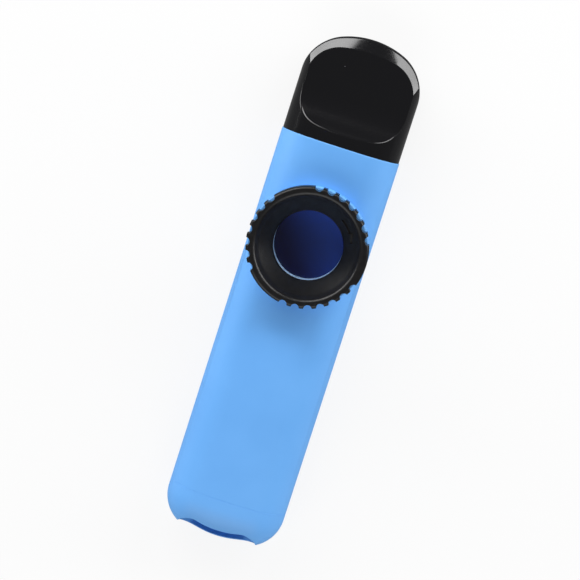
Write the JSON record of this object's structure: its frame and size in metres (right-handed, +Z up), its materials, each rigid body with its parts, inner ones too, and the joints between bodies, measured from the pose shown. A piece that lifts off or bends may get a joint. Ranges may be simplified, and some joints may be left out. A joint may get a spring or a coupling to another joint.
{
  "type": "kazoo",
  "caption": "Kazoo: oval tube with a dished mouthpiece, a slotted nose, and a knurled screw ring that clamps a buzzing film over a side port.",
  "frame": {"origin": "middle of the length and width, on the plane of the flat along the back", "axes": "+Y along the tube to the mouthpiece, +Z up through the screw ring, +X across the tube"},
  "size_m": [0.0276, 0.12, 0.0214],
  "materials": {
    "tube_plastic": "satin moulded",
    "mouth_plastic": "polished",
    "ring_plastic": "fine satin",
    "hoop_plastic": "satin moulded",
    "film": "clear tinted film"
  },
  "bodies": {
    "body": {"body_tube": "tube_plastic", "outlet_cap": "tube_plastic", "mouthpiece": "mouth_plastic"},
    "membrane": {"membrane_hoop": "hoop_plastic", "membrane_film": "film"},
    "ring": {"clamp_ring": "ring_plastic"}
  },
  "joints": [
    {"name": "membrane_lift", "type": "slide", "parent": "body", "child": "membrane", "axis": [0, 0, 1], "range_m": [0, 0.0042]},
    {"name": "ring_turn", "type": "hinge", "parent": "membrane", "child": "ring", "pos_m": [0, 0.0125, 0.019], "axis": [0, 0, 1], "range_deg": [0, 630]}
  ],
  "couplings": [
    {"joint": "membrane_lift", "follows": "ring_turn", "m_per_rad": 0.00038197}
  ]
}
